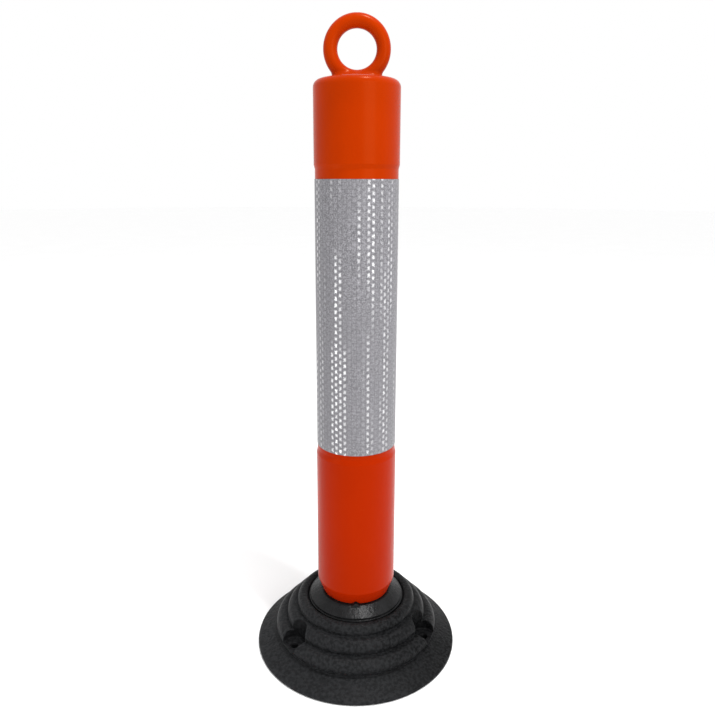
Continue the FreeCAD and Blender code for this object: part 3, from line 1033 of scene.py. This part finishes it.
class DELINEATOR_OT_collar(bpy.types.Operator):
    """Build the lock collar: barrel, double-lipped flange, spigot and index nub"""

    bl_idname = "delineator.collar"
    bl_label = "Lock collar"

    def execute(self, context):
        barrel = 43.8 * MM
        spigot = 37.4 * MM
        lip_top = 62.3 * MM
        lip_split = SEAT + 2.6 * MM
        ledge = 43.5 * MM
        ledge_z = 71.0 * MM
        corners = [
            (0, bottom_of("lock_collar"), 0),
            (barrel, bottom_of("lock_collar"), 0.6 * MM),
            (barrel, SEAT, 0),
            (FLANGE_RADIUS, SEAT, 0.3 * MM),
            (FLANGE_RADIUS, lip_split, 0.7 * MM),
            (FLANGE_RADIUS - 1.4 * MM, lip_split, 0.2 * MM),
            (FLANGE_RADIUS - 1.4 * MM, lip_top, 0.9 * MM),
            (ledge + 1.5 * MM, ledge_z - 0.4 * MM, 1.5 * MM),
            (ledge - 0.6 * MM, ledge_z, 0.4 * MM),
            (spigot, ledge_z, 0.3 * MM),
        ]
        for z in (79.0 * MM, 91.0 * MM):
            corners += [
                (spigot, z - 2.1 * MM, 0.3 * MM),
                (spigot - 3.6 * MM, z - 2.1 * MM, 0.4 * MM),
                (spigot - 3.6 * MM, z + 2.1 * MM, 0.4 * MM),
                (spigot, z + 2.1 * MM, 0.3 * MM),
            ]
        corners += [
            (spigot, COLLAR_TOP - 5 * MM, 1.5 * MM),
            (spigot - 2.5 * MM, COLLAR_TOP, 1.0 * MM),
            (0, COLLAR_TOP, 0),
        ]
        outline = divided(rounded(corners, 4), 6.0 * MM)
        body = turned(outline, post_angles(context.scene.delineator_post.around))
        nub = gable_mesh(16 * MM, 7 * MM, 67.5 * MM, spigot - 1 * MM, 47 * MM, 1.2 * MM)
        piece = new_piece("lock_collar_body", *body)
        bar = new_piece("nub_bar", *nub)
        joint = piece.modifiers.new("nub", "BOOLEAN")
        joint.operation = "UNION"
        joint.object = bar
        joint.solver = "EXACT"
        bpy.context.view_layer.update()
        solid = bpy.data.meshes.new_from_object(piece.evaluated_get(bpy.context.evaluated_depsgraph_get()))
        piece.modifiers.clear()
        piece.data = solid
        bpy.data.objects.remove(bar)
        tidy_mesh(piece)
        coat(piece, collar_finish(context.scene.delineator_colours))
        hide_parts("lock_collar")
        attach(piece, "base")
        return {"FINISHED"}


# ---------------------------------------------------------------- the rubber base

# Outline of the base, in millimetres: radius and height of each groove between the tiers,
# radius of each tier's arc, and the seat, bore and grooves under it.
TIERS = ((97.5, 15.8), (85.5, 33.0), (72.5, 48.7), (61.2, 59.6))
TIER_BULGES = (10.5, 10.7, 7.9)
GRIP_GROOVES = (65.0, 72.0, 104.0, 111.0, 118.0)
GROOVE_SIZE = 2.0
SEAT_EDGE = 60.2
SEAT_HEIGHT = 57.1
BORE_RADIUS = 44.0
UNDER_RECESS_RADIUS = 57.0
UNDER_RECESS_DEPTH = 10.0

POCKET_CIRCLE = 92.0 * MM
POCKETS = [(POCKET_CIRCLE * cos(radians(a)), POCKET_CIRCLE * sin(radians(a))) for a in (96.0, 216.0, 336.0)]
POCKET_RADIUS = 15.0 * MM
POCKET_FLOOR = 23.0 * MM
ANCHOR_HOLE = 4.5 * MM


def bulged(start, end, radius, steps=14):
    """Points of the arc that swells outward and up from start to end, without start."""
    start, end = np.array(start), np.array(end)
    chord = end - start
    half = np.hypot(*chord) / 2
    inward = np.array([-chord[1], chord[0]]) / (2 * half)
    centre = (start + end) / 2 + inward * np.sqrt(max(radius ** 2 - half ** 2, 0.0))
    first = atan2(start[1] - centre[1], start[0] - centre[0])
    last = atan2(end[1] - centre[1], end[0] - centre[0])
    if last < first:
        last += 2 * pi
    turns = np.linspace(first, last, steps + 1)[1:]
    return [(centre[0] + radius * cos(a), centre[1] + radius * sin(a)) for a in turns]


def base_outline():
    """Closed outline of the rubber base in the plane of radius and height, in metres."""
    outer = BASE_RADIUS / MM
    corners = [(UNDER_RECESS_RADIUS, 0.0)]
    for radius in GRIP_GROOVES:
        corners += [(radius - GROOVE_SIZE, 0), (radius, GROOVE_SIZE), (radius + GROOVE_SIZE, 0)]
    corners += [(outer - 1.5, 0), (outer - 0.44, 0.44), (outer, 1.5)]
    corners += [(outer, 3.0), (outer - 0.7, 4.7), (outer - 2.5, 5.5)]
    corners.append(TIERS[0])
    for start, end, radius in zip(TIERS, TIERS[1:], TIER_BULGES):
        corners += bulged(start, end, radius)
    corners += [
        (SEAT_EDGE, SEAT_HEIGHT), (BORE_RADIUS, SEAT_HEIGHT),
        (BORE_RADIUS, UNDER_RECESS_DEPTH), (UNDER_RECESS_RADIUS, UNDER_RECESS_DEPTH),
    ]
    return [(r * MM, z * MM) for r, z in corners]


def base_field(sizes):
    section = Section(base_outline(), sizes.softness)
    lip = sizes.pocket_lip

    def field(p):
        solid = section(np.hypot(p[:, 0], p[:, 1]), p[:, 2])
        for x, y in POCKETS:
            reach = np.hypot(p[:, 0] - x, p[:, 1] - y)
            pocket = soft_max(reach - POCKET_RADIUS, POCKET_FLOOR - p[:, 2], 1.5 * MM)
            solid = soft_max(solid, -pocket, lip)
            solid = soft_max(solid, ANCHOR_HOLE - reach, 0.8 * MM)
        return solid

    return field


class DELINEATOR_OT_base(bpy.types.Operator):
    """Build the tiered rubber base with its three anchor pockets"""

    bl_idname = "delineator.base"
    bl_label = "Rubber base"

    def execute(self, context):
        sizes = context.scene.delineator_base
        step = sizes.mesh_step
        field = base_field(sizes)
        inner = 42.6 * MM
        top = 60.5 * MM
        low = -1.5 * step
        counts = (
            sizes.sectors + 1,
            int(np.ceil((top - low) / step)) + 2,
            int(np.ceil((BASE_RADIUS - inner) / step)) + 3,
        )

        def place(steps):
            angle = steps[:, 0] * 2 * pi / sizes.sectors
            radius = inner + steps[:, 2] * step
            return np.stack([radius * np.cos(angle), radius * np.sin(angle), low + steps[:, 1] * step], -1)

        points, quads = skin(field, place, counts, wraps=True)
        points = settled(field, points, quads)
        middles = points[quads].mean(1)
        near = np.zeros(len(quads), bool)
        for x, y in POCKETS:
            reach = np.hypot(middles[:, 0] - x, middles[:, 1] - y)
            near |= (reach < POCKET_RADIUS + 3 * MM) & (middles[:, 2] > 12 * MM)
        points, faces = refined(field, points, quads, near)
        distance = np.hypot(points[:, 0], points[:, 1])
        points[:, :2] *= np.minimum(BASE_RADIUS / distance, 1.0)[:, None]
        points[:, 2] = np.maximum(points[:, 2], 0.0)
        piece = new_piece("rubber_base_body", points, faces, 60.0)
        coat(piece, rubber_finish(context.scene.delineator_colours))
        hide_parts("rubber_base")
        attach(piece, "base")
        return {"FINISHED"}


# ---------------------------------------------------------------- rings, plate and fasteners

class DELINEATOR_OT_fixings(bpy.types.Operator):
    """Finish the grip rings, the clamp plate and its screws, washers and inserts"""

    bl_idname = "delineator.fixings"
    bl_label = "Grip rings, plate and fasteners"

    def execute(self, context):
        refinish("grip_rings", ring_rubber_finish(context.scene.delineator_colours))
        refinish("clamp_plate", zinc_finish("zinc_plate", (0.56, 0.57, 0.58), 6 * MM))
        bolts = zinc_finish("zinc_fasteners", (0.62, 0.62, 0.60), 1.5 * MM)
        refinish("clamp_screws", bolts)
        refinish("screw_washers", bolts)
        refinish("threaded_inserts", zinc_finish("insert_brass", (0.72, 0.50, 0.20), 1.2 * MM))
        return {"FINISHED"}


# ---------------------------------------------------------------- the stage

FLOOR_RINGS = (0, 0.5, 2.0, 14.0)
FLOOR_GAP = 0.2 * MM


def aim(thing, place, target):
    """Put a light or camera at a place, looking at a target."""
    thing.location = place
    thing.rotation_euler = (Vector(target) - Vector(place)).to_track_quat("-Z", "Y").to_euler()


def softbox(name, place, target, size, power):
    light = bpy.data.lights.new(name, "AREA")
    light.shape = "RECTANGLE"
    light.size, light.size_y = size
    light.energy = power
    lamp = bpy.data.objects.new(name, light)
    bpy.context.scene.collection.objects.link(lamp)
    aim(lamp, place, target)


class DELINEATOR_OT_stage(bpy.types.Operator):
    """Lay the pale floor, hang the soft lights and set up the camera"""

    bl_idname = "delineator.stage"
    bl_label = "Floor, lights and camera"

    def execute(self, context):
        scene = context.scene
        studio = scene.delineator_studio
        rings = [(radius, 0) for radius in FLOOR_RINGS]
        floor = new_piece("studio_floor", *turned(rings, even_angles(128)))
        floor.location.z = -FLOOR_GAP
        coat(floor, floor_finish(scene.delineator_colours))

        middle = (0, 0, TOTAL_HEIGHT / 2)
        softbox("overhead_softbox", (0.4, -0.38, 2.1), middle, (0.18, 0.18), studio.key_power)
        softbox("front_softbox", (1.0, -1.55, 0.95), middle, (1.0, 1.0), studio.fill_power)
        softbox("low_softbox", (-0.8, -0.55, 0.3), (0, 0, 0.02), (0.3, 0.3), studio.low_power)

        world = bpy.data.worlds.new("pale_surroundings")
        scene.world = world
        world.use_nodes = True
        background = world.node_tree.nodes["Background"]
        background.inputs["Color"].default_value = (1.0, 1.0, 1.0, 1.0)
        background.inputs["Strength"].default_value = studio.ambient

        camera = bpy.data.cameras.new("camera")
        camera.sensor_width = 36.0
        camera.lens = studio.lens
        camera.shift_y = studio.rise
        camera.clip_start = 0.01
        holder = bpy.data.objects.new("camera", camera)
        scene.collection.objects.link(holder)
        pitch, yaw = studio.camera_pitch, studio.camera_yaw
        ahead = Vector((sin(yaw) * cos(pitch), cos(yaw) * cos(pitch), -sin(pitch)))
        right = Vector((cos(yaw), -sin(yaw), 0))
        turn = Matrix((right, right.cross(ahead), -ahead)).transposed().to_4x4()
        lean = Matrix.Rotation(studio.camera_roll, 4, "Z")
        stand = Matrix.Translation((0, -studio.camera_distance, studio.camera_height))
        holder.matrix_world = stand @ turn @ lean
        scene.camera = holder
        scene.view_settings.view_transform = "Standard"
        return {"FINISHED"}


# ---------------------------------------------------------------- panel and registration

BUILD_STEPS = ("post", "sleeve", "collar", "base", "fixings", "stage")


class DELINEATOR_PT_panel(bpy.types.Panel):
    """Sidebar panel that lists the sizes, the colours and the pieces"""

    bl_idname = "DELINEATOR_PT_panel"
    bl_label = "Delineator Post"
    bl_space_type = "VIEW_3D"
    bl_region_type = "UI"
    bl_category = "Delineator"

    def draw(self, context):
        scene = context.scene
        for title, group in (
            ("Post", scene.delineator_post),
            ("Base", scene.delineator_base),
            ("Colours", scene.delineator_colours),
            ("Studio", scene.delineator_studio),
        ):
            box = self.layout.box()
            box.label(text=title)
            for name in group.__annotations__:
                box.prop(group, name)
        for name in BUILD_STEPS:
            self.layout.operator("delineator." + name)


GROUPS = {
    "delineator_post": PostSizes,
    "delineator_base": BaseSizes,
    "delineator_colours": Colours,
    "delineator_studio": StudioSettings,
}
CLASSES = (
    *GROUPS.values(),
    DELINEATOR_OT_post,
    DELINEATOR_OT_sleeve,
    DELINEATOR_OT_collar,
    DELINEATOR_OT_base,
    DELINEATOR_OT_fixings,
    DELINEATOR_OT_stage,
    DELINEATOR_PT_panel,
)


def register():
    for item in CLASSES:
        bpy.utils.register_class(item)
    for name, group in GROUPS.items():
        setattr(bpy.types.Scene, name, PointerProperty(type=group))


def unregister():
    for name in GROUPS:
        delattr(bpy.types.Scene, name)
    for item in reversed(CLASSES):
        bpy.utils.unregister_class(item)


def main():
    register()
    for name in BUILD_STEPS:
        getattr(bpy.ops.delineator, name)()


if __name__ == "__main__":
    main()
